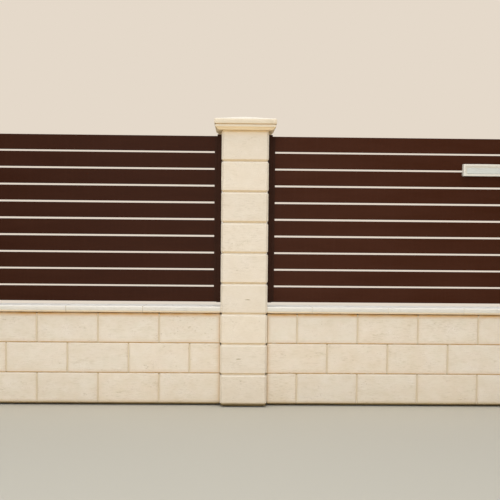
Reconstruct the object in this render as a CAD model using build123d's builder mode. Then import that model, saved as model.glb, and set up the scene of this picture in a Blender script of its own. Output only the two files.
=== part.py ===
"""Slatted aluminium fence between limestone pillars, two whole bays with three pillars.

Millimetres. X runs along the fence, the street side faces -Y and +Z is up. The origin is on the
ground, in the middle of the flat foot of the centre pillar.
"""

from build123d import *
import os

os.makedirs("parts", exist_ok=True)

# Masonry: the courses and the blocks
bed_height = 15
bed_recess = 12
course_height = 200
wall_courses = 3
wall_thickness = 220
block_length = 400
block_joint = 2
wall_first_block = 200
wall_groove = 6

# Bays: the clear width between two pillars
bay_clear = 1810

# Pillars: square blocks, one to a course, with bevelled arrises
pillar_width = 308
pillar_joint_bevel = 12
pillar_corner_bevel = 14
pillar_over_panel = 26
shortest_top_block = 60

# Cap of a pillar: hollow splay, fillet, groove, fascia and a low pyramid
cap_foot_overhang = 26
cap_splay_height = 18
cap_splay_hollow = 2
cap_fillet_overhang = 43
cap_fillet_height = 15
cap_groove_depth = 6
cap_groove_height = 5
cap_overhang = 48
cap_fascia_height = 32
cap_fascia_bevel = 5
cap_pyramid_rise = 35

# Sill on the wall: coping stones on a mortar bed that fall to the garden side
sill_bed = 5
sill_bed_recess = 6
sill_thickness = 43
sill_overhang = 30
sill_fall = 18
sill_nose_radius = 7
sill_drip_bevel = 13
sill_drip_groove = 6
sill_drip_inset = 22
sill_stone_length = 500
sill_joint = 2
sill_first_stone = 296
sill_joint_recess = 3

# Slats: flat hollow boards with one web inside
slat_count = 10
slat_height = 100
slat_thickness = 20
slat_wall = 1.4
slat_corner = 1.5
slat_gap = 12
panel_over_sill = 18

# Side posts on the pillars, and the channels that take the slat ends
post_width = 30
post_depth = 40
post_wall = 2
post_corner = 2
post_over_panel = 8
plug_flange = 2
plug_length = 12
plug_fit = 0.2
channel_width = 18
channel_wall = 1.6
slat_fit = 0.3
slat_in_channel = 14

# White surface box on the front of the right panel: a frame round a pocket with a flap in it
box_length = 340
box_height = 79
box_depth = 36
box_corner = 4
box_edge_bevel = 1.5
box_wall = 3
box_from_pillar = 1304
box_under_panel_top = 171
pocket_margin = 14
pocket_depth = 8
pocket_corner = 12
flap_side_gap = 9
flap_top_gap = 11
flap_bottom_gap = 2
flap_thickness = 5
flap_corner = 9
flap_bevel = 1.5

# Levels and places worked out from the sizes above
wall_base = bed_height
wall_top = wall_base + wall_courses * course_height
sill_bottom = wall_top + sill_bed
sill_front_top = sill_bottom + sill_thickness
panel_bottom = sill_front_top + panel_over_sill
slat_pitch = slat_height + slat_gap
panel_height = slat_count * slat_pitch - slat_gap
panel_top = panel_bottom + panel_height
post_height = panel_height + post_over_panel
pillar_top = panel_top + pillar_over_panel
pillar_full_blocks = int((pillar_top - bed_height - shortest_top_block) // course_height)
pillar_top_block = pillar_top - bed_height - pillar_full_blocks * course_height
bay_pitch = bay_clear + pillar_width
slat_length = bay_clear - 2 * (post_width + channel_width - slat_in_channel)
channel_depth = slat_thickness + 2 * (slat_fit + channel_wall)

bays = {"left": -1, "right": 1}
pillars = {"left": -1, "centre": 0, "right": 1}


def bay_left_end(side):
    """X of the pillar face at the left end of a bay."""
    return bays[side] * bay_pitch / 2 - bay_clear / 2


def save(part, name):
    """Labels a finished piece and writes it to its own file."""
    part.label = name
    export_step(part, f"parts/{name}.step")


def joints_along(first, pitch, length):
    """Distances of the joints from the left end of a row of stones."""
    places = []
    place = first
    while place < length - first / 2:
        places.append(place)
        place += pitch
    return places


# Footing: one recessed strip under the whole fence, wider under the pillars
with BuildPart() as footing_strip:
    with BuildSketch():
        Rectangle(2 * bay_pitch, wall_thickness - 2 * bed_recess)
        with Locations(*[(place * bay_pitch, 0) for place in pillars.values()]):
            Rectangle(pillar_width - 2 * bed_recess, pillar_width - 2 * bed_recess)
    extrude(amount=bed_height)
save(footing_strip.part, "footing_strip")


# Wall of one bay: three courses in running bond, with a V groove at every joint
def wall(side):
    left = bay_left_end(side)
    middle = left + bay_clear / 2
    block_pitch = block_length + block_joint
    with BuildPart() as body:
        with Locations((middle, 0, wall_base)):
            Box(
                bay_clear,
                wall_thickness,
                wall_courses * course_height,
                align=(Align.CENTER, Align.CENTER, Align.MIN),
            )
        with BuildSketch(Plane.YZ.offset(left)):
            for course in range(wall_courses + 1):
                level = wall_base + course * course_height
                with Locations((-wall_thickness / 2, level), (wall_thickness / 2, level)):
                    Rectangle(2 * wall_groove, 2 * wall_groove, rotation=45)
        extrude(amount=bay_clear, mode=Mode.SUBTRACT)
        for course in range(wall_courses):
            shift = (course % 2) * block_pitch / 2
            places = joints_along(wall_first_block + shift, block_pitch, bay_clear)
            with BuildSketch(Plane.XY.offset(wall_base + course * course_height)):
                for place in places:
                    with Locations(
                        (left + place, -wall_thickness / 2),
                        (left + place, wall_thickness / 2),
                    ):
                        Rectangle(2 * wall_groove, 2 * wall_groove, rotation=45)
            extrude(amount=course_height, mode=Mode.SUBTRACT)
    return body.part


for side in bays:
    save(wall(side), f"wall_{side}")


# Pillar shaft: a stack of square blocks that meet in V joints
def pillar_block(height):
    with BuildPart() as block:
        with BuildSketch() as outline:
            Rectangle(pillar_width, pillar_width)
            chamfer(outline.vertices(), pillar_corner_bevel)
        extrude(amount=height)
        faces = block.faces().sort_by(Axis.Z)
        chamfer(faces[0].edges() + faces[-1].edges(), pillar_joint_bevel)
    return block.part


def pillar(x):
    full_block = pillar_block(course_height)
    top_block = pillar_block(pillar_top_block)
    top_level = bed_height + pillar_full_blocks * course_height
    with BuildPart() as shaft:
        for course in range(pillar_full_blocks):
            with Locations((x, 0, bed_height + course * course_height)):
                add(full_block)
        with Locations((x, 0, top_level)):
            add(top_block)
    return shaft.part


# Cap: one moulded profile run round the four sides, mitred at the corners
def cap_profile():
    """Section of the cap from its middle line to one side, as a closed face."""
    half = pillar_width / 2
    foot = half + cap_foot_overhang
    fillet_out = half + cap_fillet_overhang
    edge = half + cap_overhang
    splay_head = pillar_top + cap_splay_height
    groove_foot = splay_head + cap_fillet_height
    groove_head = groove_foot + cap_groove_height
    fascia_head = groove_head + cap_fascia_height
    bevel_rise = cap_fascia_bevel * cap_pyramid_rise / edge + cap_fascia_bevel
    with BuildLine() as outline:
        Line((0, pillar_top), (foot, pillar_top))
        SagittaArc((foot, pillar_top), (fillet_out, splay_head), cap_splay_hollow)
        Polyline(
            (fillet_out, splay_head),
            (fillet_out, groove_foot),
            (fillet_out - cap_groove_depth, groove_foot),
            (fillet_out - cap_groove_depth, groove_head),
            (edge, groove_head),
            (edge, fascia_head - cap_fascia_bevel),
            (edge - cap_fascia_bevel, fascia_head - cap_fascia_bevel + bevel_rise),
            (0, fascia_head + cap_pyramid_rise),
            (0, pillar_top),
        )
    return outline.line


def cap(x):
    reach = pillar_width / 2 + cap_overhang
    with BuildPart() as stone:
        with BuildSketch(Plane.XZ):
            add(make_face(cap_profile().edges(), mode=Mode.PRIVATE))
            mirror(about=Plane.YZ)
        extrude(amount=reach, both=True)
        with BuildSketch(Plane.YZ):
            add(make_face(cap_profile().edges(), mode=Mode.PRIVATE))
            mirror(about=Plane.YZ)
        extrude(amount=reach, both=True, mode=Mode.INTERSECT)
    return stone.part.moved(Location((x, 0, 0)))


for side, place in pillars.items():
    save(pillar(place * bay_pitch), f"pillar_{side}")
    save(cap(place * bay_pitch), f"cap_{side}")


# Sill: separate coping stones on a mortar bed, with a mortar joint between two of them
def sill_section(inset):
    """Section of the sill across the wall, shrunk by inset for the mortar."""
    front = -(wall_thickness / 2 + sill_overhang) + inset
    back = -front
    front_top = sill_front_top - inset
    back_top = front_top - sill_fall
    with BuildSketch(mode=Mode.PRIVATE) as section:
        with BuildLine():
            Polyline(
                (front + sill_drip_bevel, sill_bottom),
                (back - sill_drip_bevel, sill_bottom),
                (back, sill_bottom + sill_drip_bevel),
                (back, back_top),
                (front, front_top),
                (front, sill_bottom + sill_drip_bevel),
                (front + sill_drip_bevel, sill_bottom),
            )
        make_face()
        noses = section.vertices().sort_by(Axis.Y)[-2:]
        fillet(noses, sill_nose_radius)
        for groove in (front + sill_drip_inset, back - sill_drip_inset):
            with Locations((groove, sill_bottom)):
                Rectangle(sill_drip_groove, 2 * sill_drip_groove, mode=Mode.SUBTRACT)
    return section.sketch


def sill_joints():
    return joints_along(sill_first_stone, sill_stone_length + sill_joint, bay_clear)


def sill(side):
    left = bay_left_end(side)
    starts = [0] + [place + sill_joint for place in sill_joints()]
    ends = sill_joints() + [bay_clear]
    with BuildPart() as stones:
        for start, end in zip(starts, ends):
            with BuildSketch(Plane.YZ.offset(left + start)):
                add(sill_section(0))
            extrude(amount=end - start)
    return stones.part


def sill_mortar(side):
    left = bay_left_end(side)
    with BuildPart() as mortar:
        with Locations((left + bay_clear / 2, 0, wall_top)):
            Box(
                bay_clear,
                wall_thickness - 2 * sill_bed_recess,
                sill_bed,
                align=(Align.CENTER, Align.CENTER, Align.MIN),
            )
        for place in sill_joints():
            with BuildSketch(Plane.YZ.offset(left + place)):
                add(sill_section(sill_joint_recess))
            extrude(amount=sill_joint)
    return mortar.part


for side in bays:
    save(sill(side), f"sill_{side}")
    save(sill_mortar(side), f"sill_mortar_{side}")


# Slats of one bay: hollow boards, rounded at the corners, with a web in the middle
def slats(side):
    left = bays[side] * bay_pitch / 2 - slat_length / 2
    hollow_height = (slat_height - 3 * slat_wall) / 2
    with BuildPart() as boards:
        with BuildSketch(Plane.YZ.offset(left)):
            for slat in range(slat_count):
                centre = panel_bottom + slat * slat_pitch + slat_height / 2
                with Locations((0, centre)):
                    RectangleRounded(slat_thickness, slat_height, slat_corner)
                    shift = (hollow_height + slat_wall) / 2
                    with Locations((0, -shift), (0, shift)):
                        Rectangle(
                            slat_thickness - 2 * slat_wall,
                            hollow_height,
                            mode=Mode.SUBTRACT,
                        )
        extrude(amount=slat_length)
    return boards.part


for side in bays:
    save(slats(side), f"slats_{side}")


# Side posts, slat channels, spacers and plugs: one set at each end of a bay
def post(face, inward):
    """Tube that stands against a pillar face and reaches inward, +1 or -1 along X."""
    with BuildPart() as tube:
        with BuildSketch(Plane.XY.offset(panel_bottom)):
            with Locations((face + inward * post_width / 2, 0)):
                RectangleRounded(post_width, post_depth, post_corner)
                Rectangle(
                    post_width - 2 * post_wall, post_depth - 2 * post_wall, mode=Mode.SUBTRACT
                )
        extrude(amount=post_height)
    return tube.part


def channel(face, inward):
    """U channel on the post, open to the slats."""
    back = face + inward * post_width
    with BuildPart() as profile:
        with BuildSketch(Plane.XY.offset(panel_bottom)):
            with Locations((back + inward * channel_width / 2, 0)):
                Rectangle(channel_width, channel_depth)
            with Locations((back + inward * (channel_wall + channel_width / 2), 0)):
                Rectangle(
                    channel_width, slat_thickness + 2 * slat_fit, mode=Mode.SUBTRACT
                )
        extrude(amount=panel_height)
    return profile.part


def spacers(face, inward):
    """Blocks in the channel that keep the slats apart."""
    mouth = face + inward * (post_width + channel_width)
    with BuildPart() as blocks:
        for gap in range(slat_count - 1):
            level = panel_bottom + gap * slat_pitch + slat_height
            with Locations((mouth - inward * slat_in_channel / 2, 0, level)):
                Box(
                    slat_in_channel - 2 * slat_fit,
                    slat_thickness,
                    slat_gap,
                    align=(Align.CENTER, Align.CENTER, Align.MIN),
                )
    return blocks.part


def plugs(face, inward):
    """Plastic plugs that close the two ends of the post."""
    middle = face + inward * post_width / 2
    inner_width = post_width - 2 * (post_wall + plug_fit)
    inner_depth = post_depth - 2 * (post_wall + plug_fit)
    with BuildPart() as pair:
        for level, way in ((panel_bottom, 1), (panel_bottom + post_height, -1)):
            with BuildSketch(Plane.XY.offset(level)):
                with Locations((middle, 0)):
                    RectangleRounded(post_width, post_depth, post_corner)
            extrude(amount=-way * plug_flange)
            with BuildSketch(Plane.XY.offset(level)):
                with Locations((middle, 0)):
                    Rectangle(inner_width, inner_depth)
            extrude(amount=way * plug_length)
    return pair.part


for side in bays:
    ends = {
        "outer": (bays[side] * (pillar_width / 2 + bay_clear), -bays[side]),
        "inner": (bays[side] * pillar_width / 2, bays[side]),
    }
    for end, (face, inward) in ends.items():
        save(post(face, inward), f"post_{side}_{end}")
        save(channel(face, inward), f"slat_channel_{side}_{end}")
        save(spacers(face, inward), f"slat_spacers_{side}_{end}")
        save(plugs(face, inward), f"post_plugs_{side}_{end}")


# White surface box: a hollow body screwed to the slats, and the flap in its front pocket
box_middle = pillar_width / 2 + box_from_pillar + box_length / 2
box_level = panel_top - box_under_panel_top - box_height / 2
on_slats = Plane(origin=(box_middle, -slat_thickness / 2, box_level), x_dir=(1, 0, 0), z_dir=(0, -1, 0))
pocket_floor = on_slats.offset(box_depth - pocket_depth)
pocket_length = box_length - 2 * pocket_margin
pocket_height = box_height - 2 * pocket_margin

with BuildPart() as surface_box_body:
    with BuildSketch(on_slats):
        RectangleRounded(box_length, box_height, box_corner)
    extrude(amount=box_depth)
    chamfer(surface_box_body.faces().sort_by(Axis.Y)[0].edges(), box_edge_bevel)
    with BuildSketch(pocket_floor):
        RectangleRounded(pocket_length, pocket_height, pocket_corner)
    extrude(amount=pocket_depth, mode=Mode.SUBTRACT)
    with BuildSketch(on_slats.offset(box_wall)):
        Rectangle(box_length - 2 * box_wall, box_height - 2 * box_wall)
    extrude(amount=box_depth - pocket_depth - 2 * box_wall, mode=Mode.SUBTRACT)
save(surface_box_body.part, "surface_box_body")

with BuildPart() as surface_box_cover:
    with BuildSketch(pocket_floor):
        with Locations((0, (flap_bottom_gap - flap_top_gap) / 2)):
            RectangleRounded(
                pocket_length - 2 * flap_side_gap,
                pocket_height - flap_top_gap - flap_bottom_gap,
                flap_corner,
            )
    extrude(amount=flap_thickness)
    chamfer(surface_box_cover.faces().sort_by(Axis.Y)[0].edges(), flap_bevel)
save(surface_box_cover.part, "surface_box_cover")
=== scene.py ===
"""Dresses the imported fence: limestone blocks, moulded caps, coping stones and brown coated slats.

Metres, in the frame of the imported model: X along the fence, the street side faces -Y, +Z up.
"""

import math
import random

import bpy
from mathutils import Matrix, Vector, noise


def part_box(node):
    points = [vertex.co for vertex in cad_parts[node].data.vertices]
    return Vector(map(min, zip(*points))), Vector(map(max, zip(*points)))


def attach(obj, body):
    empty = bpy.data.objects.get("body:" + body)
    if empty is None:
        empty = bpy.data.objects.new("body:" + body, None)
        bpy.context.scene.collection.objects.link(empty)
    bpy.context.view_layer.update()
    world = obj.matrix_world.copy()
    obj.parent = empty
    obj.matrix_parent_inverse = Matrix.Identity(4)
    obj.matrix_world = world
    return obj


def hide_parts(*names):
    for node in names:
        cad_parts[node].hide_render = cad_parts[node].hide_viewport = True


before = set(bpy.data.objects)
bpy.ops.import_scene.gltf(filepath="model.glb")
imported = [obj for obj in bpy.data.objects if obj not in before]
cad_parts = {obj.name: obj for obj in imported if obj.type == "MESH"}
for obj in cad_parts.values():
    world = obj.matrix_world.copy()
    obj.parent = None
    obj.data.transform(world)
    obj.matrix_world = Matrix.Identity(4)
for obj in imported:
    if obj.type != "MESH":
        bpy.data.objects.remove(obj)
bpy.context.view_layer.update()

MM = 0.001
SIDES = ("left", "right")
PILLARS = ("left", "centre", "right")
ENDS = ("outer", "inner")

# Masonry, as laid
COURSES = 3
COURSE = 200 * MM
BLOCK = 400 * MM
BLOCK_JOINT = 2 * MM
FIRST_BLOCK = 200 * MM
WALL_BEVEL = 6 * MM
PILLAR_CORNER_BEVEL = 14 * MM
PILLAR_JOINT_BEVEL = 12 * MM
BED_JOINT_DEPTH = 6.5 * MM
HEAD_JOINT_DEPTH = 2.8 * MM
HEAD_JOINT_WIDTH = 10 * MM
HEAD_JOINT_BEVEL = 1 * MM
FOOTING_RECESS = 20 * MM
FOOTING_BEVEL = 6 * MM
BEAD_RECESS = 3 * MM
BEAD_HEIGHT = 4 * MM
CAP_BED_RECESS = 3.5 * MM
CAP_BED_HEIGHT = 11 * MM
CAP_BED_BEVEL = (4 * MM, 4 * MM, 2 * MM)

# Mesh of the stones: point spacing, roundness of the arrises and sharpest smooth fold
STONE_STEP = 12 * MM
HIDDEN_STEP = 40 * MM
BEVEL_POWER = 1.2
CREASE_ANGLE = 30
NEARLY_STRAIGHT = 165
CORNER_CUT = 0.4

# Wear of the stones: depths, and how often each kind comes back in a metre
HOLLOW_DEPTH = 0.25 * MM
HOLLOW_RATE = 5
RUB_DEPTH = 0.8 * MM
RUB_RATE = 22
CHIP_DEPTH = 9 * MM
CHIP_RATE = 45
CHIP_LEVEL = 0.28
CAP_WEAR = 0.6
SILL_WEAR = 0.5
SEED_SPAN = 50

# Ochre stains. The coping's and the caps' also paint the shadow under them, and the cap groove's
# lifts the groove's shade as painted light. Strength at the line that they start from, and reach.
# Above 1 a mark turns into soil, but the coping's is held at 1.
BED_STAIN = 0.35
BED_REACH = 28 * MM
HEAD_STAIN = 0.15
HEAD_REACH = 22 * MM
CORNER_STAIN = 0.55
CORNER_REACH = 24 * MM
COPING_SHADOW_AND_STAIN = 1.6
COPING_SHADOW_REACH = 26 * MM
CAP_SHADOW_REACH = 42 * MM
HEAD_MORTAR_STAIN = 0.3
GROOVE_STAIN_AND_LIGHT = 1.3

# Sill stones
SILL_FIRST = 296 * MM
SILL_STONE = 500 * MM
SILL_JOINT = 2 * MM
SILL_FALL = 18 * MM
SILL_NOSE = 7 * MM
SILL_DRIP_BEVEL = 13 * MM
SILL_DRIP_GROOVE = 6 * MM
SILL_DRIP_INSET = 22 * MM
SILL_ARRIS = 1.5 * MM
SILL_END_SHRINK = (1.0, 0.4, 0.0)
SILL_FLATNESS = 4
NOSE_FALL_SHARE = 0.9
NOSE_EASE = 0.4 * MM
POINTING_RECESS = 1.2 * MM

# Cap section
FOOT_OVERHANG = 26 * MM
SPLAY_HEIGHT = 18 * MM
SPLAY_HOLLOW = 2 * MM
FILLET_OVERHANG = 43 * MM
FILLET_HEIGHT = 15 * MM
GROOVE_DEPTH = 6 * MM
GROOVE_HEIGHT = 5 * MM
CAP_OVERHANG = 48 * MM
FASCIA_HEIGHT = 32 * MM
FASCIA_BEVEL = 5 * MM
CAP_CORNER = 4 * MM
CAP_ARRIS = 1.6 * MM
CAP_TIP = 10 * MM

# Panel
SLAT_COUNT = 10
SLAT_HEIGHT = 100 * MM
SLAT_GAP = 12 * MM
RIVET_RADIUS = 2.6 * MM
RIVET_RISE = 0.9 * MM
RIVET_SPREAD = 24 * MM
RIVET_SIDES = 14
RIVET_PROFILE = ((1.0, 0.0), (0.97, 0.45), (0.8, 0.8), (0.45, 0.97), (0.15, 1.0))

# Each point of a stone carries the stone's tone, its nearness to an arris, the shift of the stone's
# pattern and its mark of stains, soil, painted shadow and painted light
STONE_MARKS = "stone"
PLAIN_MARK = (0.5, 0.0, 0.0, 0.0)

# Chisel marks on the centre pillar, as places along X and up Z
NICKS = ((-33 * MM, 319 * MM), (23 * MM, 711 * MM))
NICK_LENGTH = 32 * MM
NICK_HEIGHT = 6 * MM

# Patterns on the stone, as noise scales per metre
PATCH_SCALE = 11.0
HUE_SCALE = 7.0
REGION_SCALE = 9.0
RIPPLE_SCALE = 30.0
RIPPLE_STRETCH = (1.0, 1.0, 5.5)
GRAIN_SCALE = 380.0
PIT_SCALE = 40.0
SPECK_SCALE = 115.0
PATTERN_SHIFT = (13.0, 7.0, 5.0)

# Soiling near the foot of the masonry: dark splashes low down, a faint veil higher up
SOIL_LINE = 15 * MM
SPLASH_REACH = 24 * MM
SPLASH_SHARE = 0.95
VEIL_REACH = 220 * MM
VEIL_SHARE = 0.08

# Camera, worked out from the wall joints, the slats and the pillar edges. Its place is in metres,
# its angles in degrees, its focal length in pixels and its sensor in millimetres.
CAMERA_AT = (-0.062, -5.277, 1.272)
CAMERA_PITCH = 2.62
CAMERA_TURN = -1.10
CAMERA_ROLL = 0.54
FOCAL_PIXELS = 786
PICTURE_PIXELS = 500
SENSOR_WIDTH = 36

# Stage and light
SKY_STRENGTH = 0.64
LAMP_TONE = (1.0, 0.985, 0.965)
SKY_LIGHT_TONE = (0.95, 0.97, 1.02, 1.0)
FLOOR_REACH = 40
FLOOR_DROP = 0.5 * MM
FLOOR_ROUGHNESS = 0.85
FLOOR_FADE_START = 3.4
FLOOR_FADE_END = 6.2

# Lamps, as name, place, target, width, height and power
LAMPS = (
    ("key", (-1.2, -7.0, 4.6), (0.0, 0.0, 0.9), 4.0, 4.0, 150),
    ("fill", (-0.4, -6.8, 0.6), (0.0, 0.0, 0.9), 6.0, 1.0, 85),
    ("bounce", (0.0, -1.7, 0.05), (0.0, -1.7, 2.0), 5.0, 1.6, 11),
    ("overhead", (0.0, -0.8, 7.0), (0.0, 0.0, 0.0), 5.0, 5.0, 210),
    ("back", (1.0, 6.5, 4.6), (0.0, 0.0, 0.9), 4.0, 4.0, 120),
)


def srgb(red, green, blue):
    """Linear colour of an 8-bit display colour."""
    linear = []
    for value in (red, green, blue):
        share = value / 255
        linear.append(share / 12.92 if share <= 0.04045 else ((share + 0.055) / 1.055) ** 2.4)
    return (*linear, 1.0)


# Mesh building

class Shape:
    """Points, faces and stone marks of one piece, gathered from many small solids."""

    def __init__(self):
        self.points = []
        self.faces = []
        self.marks = []

    def add_point(self, point, mark):
        self.points.append(tuple(point))
        self.marks.append(mark)
        return len(self.points) - 1

    def join_rings(self, rings):
        """Skins a run of rings of equal length and closes its two ends."""
        for lower, upper in zip(rings, rings[1:]):
            count = len(lower)
            for i in range(count):
                after = (i + 1) % count
                self.faces.append((lower[i], lower[after], upper[after], upper[i]))
        self.faces.append(tuple(reversed(rings[0])))
        self.faces.append(tuple(rings[-1]))

    def build(self, name, material, replaced=()):
        """Makes the object, on the part's one body."""
        mesh = bpy.data.meshes.new(name)
        mesh.from_pydata(self.points, [], self.faces)
        mesh.validate()
        marks = mesh.attributes.new(STONE_MARKS, "FLOAT_COLOR", "POINT")
        marks.data.foreach_set("color", [value for mark in self.marks for value in mark])
        mesh.polygons.foreach_set("use_smooth", [True] * len(mesh.polygons))
        mesh.set_sharp_from_angle(angle=math.radians(CREASE_ANGLE))
        mesh.materials.append(material)
        piece = bpy.data.objects.new(name, mesh)
        bpy.context.collection.objects.link(piece)
        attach(piece, "root")
        if replaced:
            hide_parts(*replaced)
        return piece


def spread(low, high, bevel, step):
    """Grid lines along one edge of a block: bevel strips at the ends, even steps between."""
    inner = high - low - bevel - bevel
    count = max(1, round(inner / step))
    middle = [low + bevel + inner * i / count for i in range(count + 1)]
    return [low, low + bevel / 2, *middle, high - bevel / 2, high]


def character(chance):
    """Tone, pattern shift and wear seed of one stone, drawn in that order."""
    tone = chance.random()
    shift = chance.random()
    seed = SEED_SPAN * chance.random()
    return tone, shift, seed


def worn(point, outward, edge, seed):
    """Moves a point of a stone inward a little, more on an arris than on a face."""
    place = Vector(point)
    hollow = HOLLOW_DEPTH * (1 + noise.noise(place * HOLLOW_RATE + Vector((seed, 0, 0))))
    rub = RUB_DEPTH * (1 + noise.noise(place * RUB_RATE + Vector((0, seed, 0))))
    crack = noise.noise(place * CHIP_RATE + Vector((0, 0, seed)))
    chip = CHIP_DEPTH * max(0.0, crack - CHIP_LEVEL)
    return place - Vector(outward) * (hollow + edge * (rub + chip))


def near(distance, reach):
    """One on a line, falling to nothing at its reach."""
    return max(0.0, 1 - abs(distance) / reach)


def even_stain(share):
    """A mark of stains, soil and painted shade that has the same share at every point."""
    return lambda point: share


def stone_block(shape, low, high, bevel, step, chance, stain_and_painted_light=even_stain(0.0)):
    """A sawn block with eased, slightly worn arrises."""
    tone, shift, seed = character(chance)
    lines = [spread(low[a], high[a], bevel[a], step[a]) for a in range(3)]
    last = [len(line) - 1 for line in lines]
    made = {}

    def vertex(key):
        if key in made:
            return made[key]
        inner = []
        lean = []
        for a in range(3):
            value = lines[a][key[a]]
            held = min(max(value, low[a] + bevel[a]), high[a] - bevel[a])
            inner.append(held)
            lean.append((value - held) / bevel[a])
        size = sum(abs(v) ** BEVEL_POWER for v in lean) ** (1 / BEVEL_POWER)
        lean = [v / size for v in lean]
        edge = min(1.0, 2 * sorted(abs(v) for v in lean)[1])
        point = [inner[a] + lean[a] * bevel[a] for a in range(3)]
        outward = Vector(lean).normalized()
        place = worn(point, outward, edge, seed)
        made[key] = shape.add_point(place, (tone, edge, shift, stain_and_painted_light(point)))
        return made[key]

    for axis in range(3):
        b, c = (axis + 1) % 3, (axis + 2) % 3
        for end in (0, last[axis]):
            for m in range(last[b]):
                for n in range(last[c]):
                    quad = []
                    for dm, dn in ((0, 0), (1, 0), (1, 1), (0, 1)):
                        key = [0, 0, 0]
                        key[axis], key[b], key[c] = end, m + dm, n + dn
                        quad.append(vertex(tuple(key)))
                    if end == 0:
                        quad.reverse()
                    shape.faces.append(tuple(quad))


def softened(outline, reach, closed):
    """Rounds each corner of an outline of (a, b) points with three points."""
    count = len(outline)
    rounded = []
    for i, corner in enumerate(outline):
        if not closed and i in (0, count - 1):
            rounded.append((*corner, 0.0))
            continue
        here = Vector(corner)
        before = Vector(outline[i - 1])
        after = Vector(outline[(i + 1) % count])
        back, ahead = before - here, after - here
        turn = back.angle(ahead)
        if turn > math.radians(NEARLY_STRAIGHT):
            rounded.append((*corner, 0.0))
            continue
        cut = min(reach, CORNER_CUT * back.length, CORNER_CUT * ahead.length)
        first = here + back.normalized() * cut
        final = here + ahead.normalized() * cut
        middle = ((first + final) / 2 + here) / 2
        rounded.extend(((*first, 0.5), (*middle, 1.0), (*final, 0.5)))
    return rounded


def divided(outline, step, closed):
    """Adds points on the long runs of an outline of (a, b, edge) points."""
    runs = list(zip(outline, outline[1:]))
    if closed:
        runs.append((outline[-1], outline[0]))
    result = []
    for start, end in runs:
        length = math.hypot(end[0] - start[0], end[1] - start[1])
        count = max(1, round(length / step))
        for i in range(count):
            share = i / count
            a = start[0] + (end[0] - start[0]) * share
            b = start[1] + (end[1] - start[1]) * share
            edge = start[2] if i == 0 else 0.0
            result.append((a, b, edge))
    if not closed:
        result.append(outline[-1])
    return result


# Stone pieces

def joints_along(first, pitch, length):
    """Distances of the joints from the left end of a row of stones."""
    places = []
    place = first
    while place < length - first / 2:
        places.append(place)
        place += pitch
    return places


def head_joints(side, course):
    """Distances of the upright joints of one course from the left end of a bay."""
    low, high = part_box(f"wall_{side}")
    pitch = BLOCK + BLOCK_JOINT
    shift = (course % 2) * pitch / 2
    return joints_along(FIRST_BLOCK + shift, pitch, high.x - low.x)


def wall_blocks(side, material):
    """Three courses in running bond on one bay."""
    low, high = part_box(f"wall_{side}")
    chance = random.Random(f"wall {side}")
    bevel = (WALL_BEVEL, WALL_BEVEL, WALL_BEVEL)
    step = (STONE_STEP, HIDDEN_STEP, STONE_STEP)
    half_gap = BLOCK_JOINT / 2
    shape = Shape()

    def stain_near(joints):
        """Ochre tint of a course whose upright joints are given, with painted shadow under the
        coping.
        """

        def stain_and_painted_light(point):
            along = point[0] - low.x
            drip = BED_STAIN * near((point[2] - low.z) % COURSE, BED_REACH)
            corner = CORNER_STAIN * near(min(along, high.x - point[0]), CORNER_REACH)
            # Painted shadow of the sill on the top course, with ochre staining, fading downward
            coping = min(1.0, COPING_SHADOW_AND_STAIN * near(high.z - point[2], COPING_SHADOW_REACH))
            halo = HEAD_STAIN * near(min(abs(along - place) for place in joints), HEAD_REACH)
            return max(drip, corner, coping, halo)

        return stain_and_painted_light

    for course in range(COURSES):
        joints = head_joints(side, course)
        starts = [0.0] + [place + half_gap for place in joints]
        ends = [place - half_gap for place in joints] + [high.x - low.x]
        foot = low.z + course * COURSE
        for start, end in zip(starts, ends):
            stone_block(
                shape,
                (low.x + start, low.y, foot + half_gap),
                (low.x + end, high.y, foot + COURSE - half_gap),
                bevel,
                step,
                chance,
                stain_near(joints),
            )
    return shape.build(f"wall_blocks_{side}", material, [f"wall_{side}"])


def wall_joints(side, material):
    """Mortar behind the V joints: deep in the bed joints, nearly flush in the head joints."""
    low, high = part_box(f"wall_{side}")
    chance = random.Random(f"joints {side}")
    bevel = (HEAD_JOINT_DEPTH, HEAD_JOINT_DEPTH, HEAD_JOINT_DEPTH)
    step = (HIDDEN_STEP, HIDDEN_STEP, HIDDEN_STEP)
    shape = Shape()

    stone_block(
        shape,
        (low.x, low.y + BED_JOINT_DEPTH, low.z),
        (high.x, high.y - BED_JOINT_DEPTH, high.z - BED_JOINT_DEPTH),
        bevel,
        step,
        chance,
        # The bed joint mortar is darkened fully toward its third colour: soil and painted shade
        even_stain(1.0),
    )
    for course in range(COURSES):
        foot = low.z + course * COURSE
        strips = [(low.x + place, HEAD_MORTAR_STAIN) for place in head_joints(side, course)]
        strips += [(low.x, 0.0), (high.x, 0.0)]
        for place, stained in strips:
            stone_block(
                shape,
                (
                    max(low.x, place - HEAD_JOINT_WIDTH / 2),
                    low.y + HEAD_JOINT_DEPTH,
                    foot + BED_JOINT_DEPTH,
                ),
                (
                    min(high.x, place + HEAD_JOINT_WIDTH / 2),
                    high.y - HEAD_JOINT_DEPTH,
                    foot + COURSE - BED_JOINT_DEPTH,
                ),
                (HEAD_JOINT_BEVEL, HEAD_JOINT_BEVEL, HEAD_JOINT_BEVEL),
                step,
                chance,
                even_stain(stained),
            )
    return shape.build(f"wall_joints_{side}", material)


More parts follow.
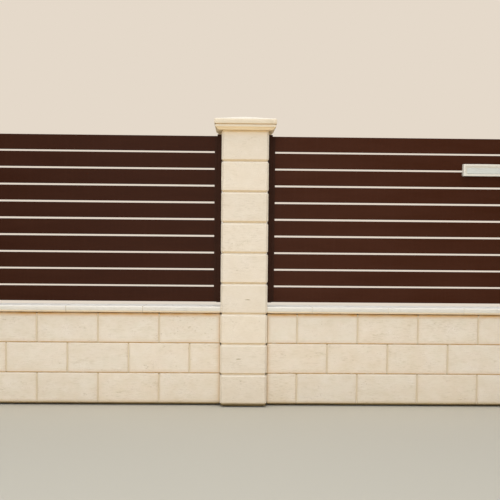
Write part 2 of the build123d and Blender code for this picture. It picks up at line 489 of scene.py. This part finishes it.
def pillar_blocks(name, material):
    """A stack of square blocks with bevelled arrises."""
    low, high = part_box(f"pillar_{name}")
    chance = random.Random(f"pillar {name}")
    bevel = (PILLAR_CORNER_BEVEL, PILLAR_CORNER_BEVEL, PILLAR_JOINT_BEVEL)
    step = (STONE_STEP, STONE_STEP, STONE_STEP)
    shape = Shape()

    def stain_and_painted_light(point):
        drip = BED_STAIN * near((point[2] - low.z) % COURSE, BED_REACH)
        # Ochre painted shadow of the cap on the top of the shaft, fading downward
        return max(drip, near(high.z - point[2], CAP_SHADOW_REACH))

    for course in range(round((high.z - low.z) / COURSE)):
        foot = low.z + course * COURSE
        stone_block(
            shape,
            (low.x, low.y, foot),
            (high.x, high.y, foot + COURSE),
            bevel,
            step,
            chance,
            stain_and_painted_light,
        )
    return shape.build(f"pillar_blocks_{name}", material, [f"pillar_{name}"])


def cap_section(foot):
    """Half width and height of the cap's moulding, from the underside to near the point."""
    low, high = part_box("pillar_centre")
    half = (high.x - low.x) / 2
    cap_low, cap_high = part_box("cap_centre")
    neck = half + FOOT_OVERHANG
    fillet = half + FILLET_OVERHANG
    edge = half + CAP_OVERHANG
    splay_head = foot + SPLAY_HEIGHT
    groove_foot = splay_head + FILLET_HEIGHT
    groove_head = groove_foot + GROOVE_HEIGHT
    fascia_head = groove_head + FASCIA_HEIGHT
    point = foot + cap_high.z - cap_low.z
    outline = [(half - 2 * PILLAR_CORNER_BEVEL, foot), (neck, foot)]
    arc_steps = 8
    chord = Vector((fillet - neck, splay_head - foot))
    inward = Vector((-chord.y, chord.x)).normalized()
    for i in range(1, arc_steps):
        share = i / arc_steps
        sag = SPLAY_HOLLOW * 4 * share * (1 - share)
        place = Vector((neck, foot)) + chord * share + inward * sag
        outline.append((place.x, place.y))
    slope = (point - fascia_head) / edge
    outline += [
        (fillet, splay_head),
        (fillet, groove_foot),
        (fillet - GROOVE_DEPTH, groove_foot),
        (fillet - GROOVE_DEPTH, groove_head),
        (edge, groove_head),
        (edge, fascia_head - FASCIA_BEVEL),
        (edge - FASCIA_BEVEL, fascia_head + slope * FASCIA_BEVEL),
        (CAP_TIP, point - slope * CAP_TIP),
    ]
    return divided(softened(outline, CAP_ARRIS, False), STONE_STEP, False)


def square_ring(shape, centre, half, height, edge, stone, sides, stain_and_painted_light):
    """One ring of a moulding round a square, with slightly rounded corners."""
    tone, shift, seed = stone
    ring = []
    corner = min(CAP_CORNER, half / 2)
    inner = half - corner
    corner_steps = 3
    for quarter in range(4):
        turn = Matrix.Rotation(quarter * math.pi / 2, 2)
        flat = []
        for i in range(sides):
            flat.append((half, -inner + 2 * inner * i / sides, 0.0))
        for i in range(corner_steps):
            angle = math.pi / 2 * i / corner_steps
            flat.append((inner + corner * math.cos(angle), inner + corner * math.sin(angle), 1.0))
        for along, across, at_corner in flat:
            place = turn @ Vector((along, across))
            outward = Vector((place.x, place.y, 0)).normalized()
            mark = max(edge, at_corner)
            point = (centre.x + place.x, centre.y + place.y, height)
            point = worn(point, outward, CAP_WEAR * mark, seed)
            ring.append(shape.add_point(point, (tone, mark, shift, stain_and_painted_light)))
    return ring


def moulded_cap(name, material):
    """The cap's section run round the four sides, mitred at the corners, with a low pyramid."""
    low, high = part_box(f"cap_{name}")
    stone = character(random.Random(f"cap {name}"))
    centre = Vector(((low.x + high.x) / 2, (low.y + high.y) / 2, 0))
    shape = Shape()
    sides = round((high.x - low.x) / STONE_STEP)
    rings = []
    groove_foot = low.z + SPLAY_HEIGHT + FILLET_HEIGHT
    groove_head = groove_foot + GROOVE_HEIGHT
    for half, height, edge in cap_section(low.z):
        # The cap groove is tinted ochre with a little soil: weathering, and painted light that
        # lifts its shade
        stain_and_painted_light = GROOVE_STAIN_AND_LIGHT if groove_foot <= height <= groove_head else 0.0
        rings.append(square_ring(shape, centre, half, height, edge, stone, sides, stain_and_painted_light))
    shape.join_rings(rings)
    return shape.build(f"moulded_cap_{name}", material, [f"cap_{name}"])


def sill_outline(low, high):
    """Section of a coping stone across the wall, anticlockwise seen from +X."""
    front, back, foot = low.y, high.y, low.z
    top = high.z + NOSE_FALL_SHARE * SILL_NOSE * SILL_FALL / (back - front)
    groove_front = front + SILL_DRIP_INSET
    groove_back = back - SILL_DRIP_INSET
    half_groove = SILL_DRIP_GROOVE / 2
    roof = foot + SILL_DRIP_GROOVE
    outline = [
        (front + SILL_DRIP_BEVEL, foot),
        (groove_front - half_groove, foot),
        (groove_front - half_groove, roof),
        (groove_front + half_groove, roof),
        (groove_front + half_groove, foot),
        (groove_back - half_groove, foot),
        (groove_back - half_groove, roof),
        (groove_back + half_groove, roof),
        (groove_back + half_groove, foot),
        (back - SILL_DRIP_BEVEL, foot),
        (back, foot + SILL_DRIP_BEVEL),
        (back, top - SILL_FALL - SILL_NOSE),
    ]
    steps = 4
    for i in range(1, steps + 1):
        angle = math.pi / 2 * i / steps
        outline.append(
            (
                back - SILL_NOSE * (1 - math.cos(angle)),
                top - SILL_FALL - SILL_NOSE * (1 - math.sin(angle)),
            )
        )
    for i in range(steps + 1):
        angle = math.pi / 2 * (1 + i / steps)
        outline.append(
            (
                front + SILL_NOSE * (1 + math.cos(angle)),
                top - SILL_NOSE * (1 - math.sin(angle)) - NOSE_EASE,
            )
        )
    outline.append((front, foot + SILL_DRIP_BEVEL))
    return divided(softened(outline, SILL_ARRIS, True), STONE_STEP, True)


def sill_outward(low, high, y, z):
    """Direction out of a coping stone at one point of its section."""
    across = y - (low.y + high.y) / 2
    upward = z - (low.z + high.z) / 2
    return Vector((0, across, SILL_FLATNESS * upward)).normalized()


def sill_joints(low, high):
    """Distances of the joints between coping stones from the left end of a bay."""
    return joints_along(SILL_FIRST, SILL_STONE + SILL_JOINT, high.x - low.x)


def sill_stones(side, material):
    """Coping stones of one bay, each with its own tone."""
    low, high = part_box(f"sill_{side}")
    chance = random.Random(f"sill {side}")
    outline = sill_outline(low, high)
    joints = sill_joints(low, high)
    starts = [0.0] + [place + SILL_JOINT for place in joints]
    ends = joints + [high.x - low.x]
    shape = Shape()
    for start, end in zip(starts, ends):
        tone, shift, seed = character(chance)
        places = spread(low.x + start, low.x + end, SILL_ARRIS, STONE_STEP)
        rings = []
        for i, x in enumerate(places):
            from_end = min(i, len(places) - 1 - i)
            shrink = SILL_ARRIS * SILL_END_SHRINK[min(from_end, 2)]
            ring = []
            for y, z, edge in outline:
                outward = sill_outward(low, high, y, z)
                mark = 1.0 if from_end == 0 else edge
                point = Vector((x, y, z)) - outward * shrink
                place = worn(point, outward, SILL_WEAR * mark, seed)
                ring.append(shape.add_point(place, (tone, mark, shift, 0.0)))
            rings.append(ring)
        shape.join_rings(rings)
    return shape.build(f"sill_stones_{side}", material, [f"sill_{side}"])


def sill_pointing(side, material):
    """Mortar struck nearly flush between the coping stones of one bay."""
    low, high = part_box(f"sill_{side}")
    outline = sill_outline(low, high)
    shape = Shape()
    for joint in sill_joints(low, high):
        rings = []
        for x in (joint - MM, joint + SILL_JOINT + MM):
            ring = []
            for y, z, _ in outline:
                place = Vector((low.x + x, y, z)) - sill_outward(low, high, y, z) * POINTING_RECESS
                ring.append(shape.add_point(place, PLAIN_MARK))
            rings.append(ring)
        shape.join_rings(rings)
    return shape.build(f"sill_pointing_{side}", material)


def footing(material):
    """Rough mortar bed under the masonry: a dirty olive bead over a recessed strip painted
    near-black as shadow.
    """
    shape = Shape()
    chance = random.Random("footing")
    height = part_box("footing_strip")[1].z
    boxes = [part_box(f"wall_{side}") for side in SIDES]
    boxes += [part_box(f"pillar_{name}") for name in PILLARS]
    layers = (
        # The recessed strip is darkened fully toward a near-black colour as painted shadow; the
        # bead is left plain
        (FOOTING_RECESS, 0.0, height, 1.0),
        (BEAD_RECESS, height - BEAD_HEIGHT, height, 0.0),
    )
    for recess, foot, head, soil_and_shade_share in layers:
        bevel = (FOOTING_BEVEL, FOOTING_BEVEL, 0.3 * (head - foot))
        for low, high in boxes:
            stone_block(
                shape,
                (low.x + recess, low.y + recess, foot),
                (high.x - recess, high.y - recess, head),
                bevel,
                (STONE_STEP, HIDDEN_STEP, HIDDEN_STEP),
                chance,
                even_stain(soil_and_shade_share),
            )
    return shape.build("mortar_footing", material, ["footing_strip"])


def cap_beds(material):
    """Mortar struck nearly flush in the V joint between each pillar and its cap."""
    shape = Shape()
    chance = random.Random("cap beds")
    for name in PILLARS:
        low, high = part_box(f"pillar_{name}")
        stone_block(
            shape,
            (low.x + CAP_BED_RECESS, low.y + CAP_BED_RECESS, high.z - CAP_BED_HEIGHT),
            (high.x - CAP_BED_RECESS, high.y - CAP_BED_RECESS, high.z),
            CAP_BED_BEVEL,
            (STONE_STEP, STONE_STEP, HIDDEN_STEP),
            chance,
        )
    return shape.build("cap_beds", material)


# Metal and plastic pieces

def rivet_head(shape, centre, facing):
    """Low round head on a face that looks along -Y or +Y."""
    rings = []
    for share, lift in RIVET_PROFILE:
        radius = RIVET_RADIUS * share
        ring = []
        for i in range(RIVET_SIDES):
            angle = 2 * math.pi * i / RIVET_SIDES
            across = -facing * radius * math.cos(angle)
            upward = radius * math.sin(angle)
            place = centre + Vector((across, facing * RIVET_RISE * lift, upward))
            ring.append(shape.add_point(place, PLAIN_MARK))
        rings.append(ring)
    shape.join_rings(rings)


def rivets(side, material):
    """Two blind rivets through the channel at each slat end, front and back."""
    shape = Shape()
    for end in ENDS:
        low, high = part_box(f"slat_channel_{side}_{end}")
        x = (low.x + high.x) / 2
        for slat in range(SLAT_COUNT):
            middle = low.z + slat * (SLAT_HEIGHT + SLAT_GAP) + SLAT_HEIGHT / 2
            for offset in (-RIVET_SPREAD, RIVET_SPREAD):
                rivet_head(shape, Vector((x, low.y, middle + offset)), -1)
                rivet_head(shape, Vector((x, high.y, middle + offset)), 1)
    return shape.build(f"rivets_{side}", material)


# Materials

class Recipe:
    """A node material under construction."""

    def __init__(self, name):
        self.material = bpy.data.materials.new(name)
        self.material.use_nodes = True
        self.tree = self.material.node_tree
        self.shader = self.tree.nodes["Principled BSDF"]

    def node(self, kind, values=None, **settings):
        made = self.tree.nodes.new(kind)
        for key, value in settings.items():
            setattr(made, key, value)
        for key, value in (values or {}).items():
            self.feed(made.inputs[key], value)
        return made

    def feed(self, socket, value):
        if isinstance(value, bpy.types.NodeSocket):
            self.tree.links.new(value, socket)
        else:
            socket.default_value = value

    def math(self, operation, a, b):
        return self.node("ShaderNodeMath", {0: a, 1: b}, operation=operation).outputs[0]

    def ramp(self, value, low, high, to_low=0.0, to_high=1.0):
        """Straight rise or fall from one value to another, held level outside its ends."""
        made = self.node(
            "ShaderNodeMapRange",
            {"Value": value, 1: low, 2: high, 3: to_low, 4: to_high},
        )
        return made.outputs[0]

    def mix(self, share, a, b, blend="MIX"):
        made = self.node("ShaderNodeMix", data_type="RGBA", blend_type=blend)
        self.feed(made.inputs[0], share)
        self.feed(made.inputs[6], a)
        self.feed(made.inputs[7], b)
        return made.outputs[2]

    def place(self, stretch=(1, 1, 1), offset=None):
        made = self.node("ShaderNodeTexCoord").outputs["Object"]
        if offset is not None:
            made = self.node(
                "ShaderNodeVectorMath", {0: made, 1: offset}, operation="ADD"
            ).outputs[0]
        return self.node(
            "ShaderNodeVectorMath", {0: made, 1: stretch}, operation="MULTIPLY"
        ).outputs[0]

    def noise(self, vector, scale, detail, roughness):
        made = self.node(
            "ShaderNodeTexNoise",
            {"Vector": vector, "Scale": scale, "Detail": detail, "Roughness": roughness},
        )
        return made.outputs["Fac"]

    def cells(self, vector, scale):
        """Distance to the nearest of many scattered points."""
        made = self.node("ShaderNodeTexVoronoi", {"Vector": vector, "Scale": scale})
        return made.outputs["Distance"]

    def height(self):
        position = self.node("ShaderNodeTexCoord").outputs["Object"]
        return self.node("ShaderNodeSeparateXYZ", {0: position}).outputs[2]

    def facing(self):
        """Upward part of the surface direction, from -1 on a soffit to 1 on a top."""
        normal = self.node("ShaderNodeNewGeometry").outputs["Normal"]
        return self.node("ShaderNodeSeparateXYZ", {0: normal}).outputs[2]

    def marks(self):
        """Tone, edge, shift and the mark of stains, soil, painted shadow and painted light of the
        stone at a point.
        """
        made = self.node("ShaderNodeAttribute", attribute_name=STONE_MARKS)
        parts = self.node("ShaderNodeSeparateColor", {0: made.outputs["Color"]})
        return (*parts.outputs[:3], made.outputs["Alpha"])

    def times(self, colour, factor):
        """Colour multiplied by one number."""
        grey = self.node("ShaderNodeCombineColor", {0: factor, 1: factor, 2: factor})
        return self.mix(1.0, colour, grey.outputs[0], "MULTIPLY")

    def bump(self, height, distance, strength, under=None):
        values = {"Height": height, "Distance": distance, "Strength": strength}
        if under is not None:
            values["Normal"] = under
        return self.node("ShaderNodeBump", values).outputs[0]

    def done(self, colour, roughness, normal=None, **fixed):
        self.feed(self.shader.inputs["Base Color"], colour)
        self.feed(self.shader.inputs["Roughness"], roughness)
        if normal is not None:
            self.feed(self.shader.inputs["Normal"], normal)
        for key, value in fixed.items():
            self.shader.inputs[key.replace("_", " ")].default_value = value
        return self.material


def chisel_mark(recipe, x, z):
    """One inside a short level nick on the street side, nothing outside it."""
    frayed = recipe.noise(recipe.place(), 90.0, 2.0, 0.6)
    parts = recipe.node("ShaderNodeSeparateXYZ", {0: recipe.place()}).outputs
    across = recipe.math("DIVIDE", recipe.math("SUBTRACT", parts[0], x), NICK_LENGTH / 2)
    upward = recipe.math("DIVIDE", recipe.math("SUBTRACT", parts[2], z), NICK_HEIGHT / 2)
    round_distance = recipe.math(
        "ADD", recipe.math("MULTIPLY", across, across), recipe.math("MULTIPLY", upward, upward)
    )
    near_mark = recipe.math("ADD", round_distance, recipe.ramp(frayed, 0.3, 0.7, -0.5, 0.5))
    street_side = recipe.ramp(parts[1], 0.0, -0.05)
    return recipe.math("MULTIPLY", recipe.ramp(near_mark, 0.5, 1.2, 1.0, 0.0), street_side)


def limestone(name, light, dark, ochre, washed_and_painted_top_light, soil, ripple_share, pit_share, nicks=()):
    """Sawn limestone: soft patches, sawn ripples, fine grain, pits and ochre stains.

    Tops are paler from rain and painted top light; undersides and lower edges are ochre, undersides
    partly as painted warm light bounced from below; the foot is splashed with soil.
    """
    recipe = Recipe(name)
    tone, edge, shift, stain_and_painted_light = recipe.marks()
    up = recipe.facing()
    spin = recipe.node("ShaderNodeCombineXYZ", {0: shift, 1: tone, 2: shift}).outputs[0]
    offset = recipe.node(
        "ShaderNodeVectorMath", {0: spin, 1: PATTERN_SHIFT}, operation="MULTIPLY"
    ).outputs[0]
    patches = recipe.noise(recipe.place((1.0, 1.0, 1.6), offset), PATCH_SCALE, 4.0, 0.6)
    hues = recipe.noise(recipe.place((1.0, 1.0, 1.3), offset), HUE_SCALE, 3.0, 0.55)
    where = recipe.noise(recipe.place((1.0, 1.0, 1.6), offset), REGION_SCALE, 2.0, 0.6)
    ripples = recipe.noise(recipe.place(RIPPLE_STRETCH, offset), RIPPLE_SCALE, 4.0, 0.6)
    grain = recipe.noise(recipe.place(offset=offset), GRAIN_SCALE, 3.0, 0.65)
    body = recipe.mix(recipe.ramp(patches, 0.3, 0.7), dark, light)
    yellowed = recipe.math(
        "ADD", recipe.ramp(hues, 0.35, 0.65, 0.0, 0.08), recipe.ramp(tone, 0.5, 1.0, 0.0, 0.06)
    )
    body = recipe.mix(yellowed, body, ochre)
    groove = recipe.math(
        "MULTIPLY",
        recipe.ramp(ripples, 0.5, 0.66),
        recipe.ramp(where, 0.35, 0.65, 0.35, 1.0),
    )
    tooled = recipe.ramp(shift, 0.0, 1.0, 0.5 * ripple_share, 1.5 * ripple_share)
    body = recipe.mix(recipe.math("MULTIPLY", groove, tooled), body, soil)
    pits = recipe.cells(recipe.place((1.0, 1.0, 2.4), offset), PIT_SCALE)
    hole = recipe.math(
        "MULTIPLY",
        recipe.ramp(pits, 0.1, 0.28, 1.0, 0.0),
        recipe.ramp(where, 0.64 - pit_share, 0.7 - pit_share),
    )
    specks = recipe.cells(recipe.place((1.0, 1.0, 1.7), offset), SPECK_SCALE)
    speck = recipe.math(
        "MULTIPLY", recipe.ramp(specks, 0.12, 0.32, 1.0, 0.0), recipe.ramp(patches, 0.5, 0.68)
    )
    hole = recipe.math("MAXIMUM", hole, speck)
    body = recipe.mix(recipe.math("MULTIPLY", hole, 0.45), body, soil)
    for x, z in nicks:
        nick = chisel_mark(recipe, x, z)
        hole = recipe.math("MAXIMUM", hole, nick)
        body = recipe.mix(recipe.math("MULTIPLY", nick, 0.75), body, soil)
    body = recipe.times(body, recipe.ramp(tone, 0.0, 1.0, 0.97, 1.02))
    body = recipe.times(body, recipe.ramp(grain, 0.25, 0.75, 0.95, 1.035))
    # Tops turn paler: from rain, and as painted top light
    body = recipe.mix(recipe.ramp(up, 0.25, 0.9, 0.0, 0.9), body, washed_and_painted_top_light)
    rim = recipe.math("MULTIPLY", edge, recipe.ramp(up, -0.25, 0.0, 0.3, 0.06))
    # The stone's mark adds ochre: stains, and painted shadow under the coping and the caps
    drip = recipe.math("MULTIPLY", stain_and_painted_light, recipe.ramp(patches, 0.25, 0.7, 0.5, 0.95))
    # Undersides turn ochre: weathering, and painted warm light bounced from below
    under = recipe.ramp(up, -0.15, -0.7, 0.0, 0.75)
    ochre_patina_and_painted_light = recipe.math("MAXIMUM", recipe.math("MAXIMUM", rim, drip), under)
    body = recipe.mix(ochre_patina_and_painted_light, body, ochre)
    body = recipe.mix(recipe.ramp(stain_and_painted_light, 1.0, 2.0), body, soil)
    height = recipe.height()
    splash = recipe.math(
        "MAXIMUM",
        recipe.ramp(height, SOIL_LINE, SOIL_LINE + SPLASH_REACH, SPLASH_SHARE, 0.0),
        recipe.ramp(height, SOIL_LINE, SOIL_LINE + VEIL_REACH, VEIL_SHARE, 0.0),
    )
    splash = recipe.math("MULTIPLY", splash, recipe.ramp(hues, 0.3, 0.7, 0.6, 1.0))
    body = recipe.mix(splash, body, soil)
    relief = recipe.math("SUBTRACT", recipe.math("MULTIPLY", grain, 0.4), groove)
    fine = recipe.bump(relief, 0.8 * MM, 0.8)
    normal = recipe.bump(recipe.math("SUBTRACT", 1.0, hole), 1.6 * MM, 1.0, fine)
    rough = recipe.ramp(grain, 0.2, 0.8, 0.74, 0.92)
    return recipe.done(body, rough, normal, Specular_IOR_Level=0.3)


def mortar(name, light, dark, soil):
    """Rough sandy mortar, darkened by soil and painted shade where its mark says so."""
    recipe = Recipe(name)
    soil_and_shade_share = recipe.marks()[3]
    plain = recipe.place()
    clouds = recipe.noise(plain, 14.0, 5.0, 0.65)
    sand = recipe.noise(plain, 700.0, 2.0, 0.7)
    body = recipe.mix(recipe.ramp(clouds, 0.3, 0.7), dark, light)
    darkening = recipe.math("MULTIPLY", soil_and_shade_share, recipe.ramp(clouds, 0.35, 0.6, 0.55, 1.0))
    body = recipe.mix(darkening, body, soil)
    body = recipe.mix(recipe.ramp(sand, 0.55, 0.75, 0.0, 0.3), body, dark)
    normal = recipe.bump(recipe.math("ADD", clouds, sand), 1.5 * MM, 0.9)
    return recipe.done(body, recipe.ramp(sand, 0.2, 0.8, 0.8, 0.95), normal)


def powder_coat(name, colour, dust, streaks):
    """Satin powder coat on aluminium: fine orange peel, thin dust and faint run marks."""
    recipe = Recipe(name)
    plain = recipe.place()
    peel = recipe.noise(plain, 260.0, 2.0, 0.45)
    clouds = recipe.noise(recipe.place((0.8, 1.0, 5.0)), 2.2, 4.0, 0.6)
    runs = recipe.noise(recipe.place((70.0, 70.0, 1.5)), 1.0, 4.0, 0.6)
    drag = recipe.noise(recipe.place((1.5, 60.0, 240.0)), 1.0, 3.0, 0.5)
    body = recipe.mix(recipe.ramp(clouds, 0.36, 0.72, 0.0, 0.6), colour, dust)
    body = recipe.mix(recipe.ramp(runs, 0.52, 0.78, 0.0, streaks), body, dust)
    normal = recipe.bump(peel, 0.25 * MM, 0.35)
    normal = recipe.bump(drag, 0.12 * MM, 0.25, normal)
    rough = recipe.ramp(clouds, 0.3, 0.8, 0.4, 0.56)
    return recipe.done(body, rough, normal, Specular_IOR_Level=0.07)


def moulded_plastic(name, colour, tint, roughness):
    """Plain moulded plastic with a fine texture and slight greying."""
    recipe = Recipe(name)
    plain = recipe.place()
    clouds = recipe.noise(plain, 18.0, 4.0, 0.6)
    leather = recipe.noise(plain, 900.0, 2.0, 0.5)
    body = recipe.mix(recipe.ramp(clouds, 0.4, 0.8, 0.0, 0.5), colour, tint)
    normal = recipe.bump(leather, 0.2 * MM, 0.4)
    rough = recipe.ramp(clouds, 0.3, 0.8, roughness - 0.06, roughness + 0.08)
    return recipe.done(body, rough, normal)


def paint(node, material):
    """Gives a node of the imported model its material."""
    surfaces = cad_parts[node].data.materials
    surfaces.clear()
    surfaces.append(material)


# The object

wall_stone = limestone(
    "wall_limestone",
    light=srgb(231, 220, 204),
    dark=srgb(223, 212, 192),
    # Deep ochre: stains, and the painted shadow under the sill
    ochre=srgb(196, 144, 60),
    washed_and_painted_top_light=srgb(238, 231, 216),
    soil=srgb(176, 158, 118),
    ripple_share=0.24,
    pit_share=0.04,
)
pillar_stone = limestone(
    "pillar_limestone",
    light=srgb(228, 216, 198),
    dark=srgb(221, 208, 188),
    # Ochre: stains, and the cap's painted shadow on the shaft top
    ochre=srgb(218, 193, 152),
    washed_and_painted_top_light=srgb(236, 230, 216),
    soil=srgb(160, 141, 100),
    ripple_share=0.2,
    pit_share=0.01,
    nicks=NICKS,
)
cap_stone = limestone(
    "cap_limestone",
    light=srgb(217, 205, 184),
    dark=srgb(213, 200, 177),
    # Pale ochre: weathering, and painted bounce light on the soffits and in the groove
    ochre=srgb(242, 211, 161),
    washed_and_painted_top_light=srgb(215, 209, 195),
    soil=srgb(150, 124, 82),
    ripple_share=0.16,
    pit_share=0.0,
)
sill_stone = limestone(
    "sill_limestone",
    light=srgb(220, 215, 204),
    dark=srgb(213, 208, 196),
    # Near-white ochre: on the drip bevel it paints warm light bounced from below
    ochre=srgb(248, 224, 186),
    washed_and_painted_top_light=srgb(246, 243, 235),
    soil=srgb(176, 166, 146),
    ripple_share=0.2,
    pit_share=0.0,
)
joint_mortar = mortar(
    # Third colour: soil and painted shade in the bed joints
    "joint_mortar", srgb(232, 217, 190), srgb(218, 201, 170), srgb(158, 140, 106)
)
pointing_mortars = {
    "left": mortar(
        "pointing_mortar_left", srgb(202, 188, 162), srgb(182, 166, 136), srgb(150, 130, 96)
    ),
    "right": mortar(
        "pointing_mortar_right", srgb(222, 211, 192), srgb(208, 195, 172), srgb(170, 150, 116)
    ),
}
cap_mortar = mortar(
    "cap_mortar", srgb(240, 216, 170), srgb(228, 200, 150), srgb(190, 160, 104)
)
# Dark ochre under the sill: mortar painted darker as the sill's shadow
sill_bed_mortar_and_shadow = mortar(
    "sill_bed_mortar_and_shadow", srgb(184, 132, 48), srgb(138, 90, 22), srgb(120, 80, 24)
)
footing_mortar = mortar(
    # Its near-black third colour paints the shadow in the footing's recessed strip
    "footing_mortar", srgb(150, 128, 84), srgb(112, 94, 58), srgb(20, 14, 6)
)
# The left panel's coat is painted darker than the right's as shade; both are one powder coat
slat_coats_with_painted_shade = {
    "left": powder_coat("slat_powder_coat_left_painted_darker", srgb(49, 20, 5), srgb(59, 31, 18), 0.35),
    "right": powder_coat("slat_powder_coat_right", srgb(58, 26, 9), srgb(68, 37, 24), 0.35),
}
post_coat = powder_coat("post_powder_coat", srgb(47, 22, 8), srgb(58, 33, 22), 0.35)
brown_nylon = moulded_plastic("brown_nylon", srgb(40, 26, 18), srgb(52, 38, 30), 0.6)
white_plastic = moulded_plastic("white_plastic", srgb(221, 216, 203), srgb(212, 204, 188), 0.42)
flap_plastic = moulded_plastic("flap_plastic", srgb(203, 205, 197), srgb(195, 195, 186), 0.42)

for side in SIDES:
    wall_blocks(side, wall_stone)
    wall_joints(side, joint_mortar)
    sill_stones(side, sill_stone)
    sill_pointing(side, pointing_mortars[side])
    paint(f"sill_mortar_{side}", sill_bed_mortar_and_shadow)
    paint(f"slats_{side}", slat_coats_with_painted_shade[side])
    rivets(side, post_coat)
    for end in ENDS:
        paint(f"post_{side}_{end}", post_coat)
        paint(f"slat_channel_{side}_{end}", post_coat)
        paint(f"slat_spacers_{side}_{end}", brown_nylon)
        paint(f"post_plugs_{side}_{end}", brown_nylon)
for name in PILLARS:
    pillar_blocks(name, pillar_stone)
    moulded_cap(name, cap_stone)
cap_beds(cap_mortar)
footing(footing_mortar)
paint("surface_box_body", white_plastic)
paint("surface_box_cover", flap_plastic)


# Stage, light and camera

FLOOR_TONE = srgb(187, 183, 170)
BACKDROP_TONE = srgb(229, 217, 202)


def seen_directly(tree):
    """One for camera, mirror and glass rays, which meet the plain backdrop tone."""
    rays = tree.nodes.new("ShaderNodeLightPath")
    total = rays.outputs["Is Camera Ray"]
    for name in ("Is Glossy Ray", "Is Transmission Ray"):
        either = tree.nodes.new("ShaderNodeMath")
        either.operation = "MAXIMUM"
        tree.links.new(total, either.inputs[0])
        tree.links.new(rays.outputs[name], either.inputs[1])
        total = either.outputs[0]
    return total


def floor():
    """Pale floor that fades into the backdrop tone away from the fence."""
    mesh = bpy.data.meshes.new("floor")
    signs = ((-1, -1), (1, -1), (1, 1), (-1, 1))
    corners = [(x * FLOOR_REACH, y * FLOOR_REACH, 0) for x, y in signs]
    mesh.from_pydata(corners, [], [(0, 1, 2, 3)])
    plane = bpy.data.objects.new("floor", mesh)
    plane.location.z = -FLOOR_DROP
    bpy.context.collection.objects.link(plane)
    recipe = Recipe("pale_floor")
    tree = recipe.tree
    away = recipe.node("ShaderNodeVectorMath", {0: recipe.place()}, operation="LENGTH")
    fade = recipe.ramp(away.outputs["Value"], FLOOR_FADE_START, FLOOR_FADE_END)
    glow = recipe.node("ShaderNodeEmission", {"Color": BACKDROP_TONE, "Strength": 1.0})
    blend = tree.nodes.new("ShaderNodeMixShader")
    recipe.feed(blend.inputs[0], recipe.math("MULTIPLY", fade, seen_directly(tree)))
    tree.links.new(recipe.shader.outputs[0], blend.inputs[1])
    tree.links.new(glow.outputs[0], blend.inputs[2])
    tree.links.new(blend.outputs[0], tree.nodes["Material Output"].inputs["Surface"])
    mesh.materials.append(recipe.done(FLOOR_TONE, FLOOR_ROUGHNESS))


def sky():
    """Even pale surroundings, seen by the camera as a plain pale tone."""
    world = bpy.data.worlds.new("pale_studio")
    bpy.context.scene.world = world
    world.use_nodes = True
    tree = world.node_tree
    tree.nodes.clear()
    seen = tree.nodes.new("ShaderNodeBackground")
    seen.inputs[0].default_value = BACKDROP_TONE
    seen.inputs[1].default_value = 1.0
    lighting = tree.nodes.new("ShaderNodeBackground")
    lighting.inputs[0].default_value = SKY_LIGHT_TONE
    lighting.inputs[1].default_value = SKY_STRENGTH
    pick = tree.nodes.new("ShaderNodeMixShader")
    output = tree.nodes.new("ShaderNodeOutputWorld")
    links = tree.links
    links.new(seen_directly(tree), pick.inputs[0])
    links.new(lighting.outputs[0], pick.inputs[1])
    links.new(seen.outputs[0], pick.inputs[2])
    links.new(pick.outputs[0], output.inputs[0])


def lamp(name, place, target, width, height, power):
    """A soft panel of light."""
    data = bpy.data.lights.new(name, "AREA")
    data.shape = "ELLIPSE"
    data.size = width
    data.size_y = height
    data.energy = power
    data.color = LAMP_TONE
    light = bpy.data.objects.new(name, data)
    light.location = place
    light.rotation_mode = "QUATERNION"
    aim = Vector(target) - Vector(place)
    light.rotation_quaternion = aim.to_track_quat("-Z", "Y")
    light.visible_camera = False
    bpy.context.collection.objects.link(light)


def camera():
    """The place and direction that the photograph was taken from."""
    data = bpy.data.cameras.new("camera")
    data.sensor_width = SENSOR_WIDTH
    data.lens = FOCAL_PIXELS / PICTURE_PIXELS * SENSOR_WIDTH
    eye = bpy.data.objects.new("camera", data)
    turn = Matrix.Rotation(math.radians(CAMERA_TURN), 4, "Z")
    tilt = Matrix.Rotation(math.radians(90 - CAMERA_PITCH), 4, "X")
    roll = Matrix.Rotation(math.radians(CAMERA_ROLL), 4, "Z")
    eye.matrix_world = Matrix.Translation(CAMERA_AT) @ turn @ tilt @ roll
    bpy.context.collection.objects.link(eye)
    bpy.context.scene.camera = eye


floor()
sky()
for settings in LAMPS:
    lamp(*settings)
camera()
bpy.context.scene.view_settings.view_transform = "Standard"
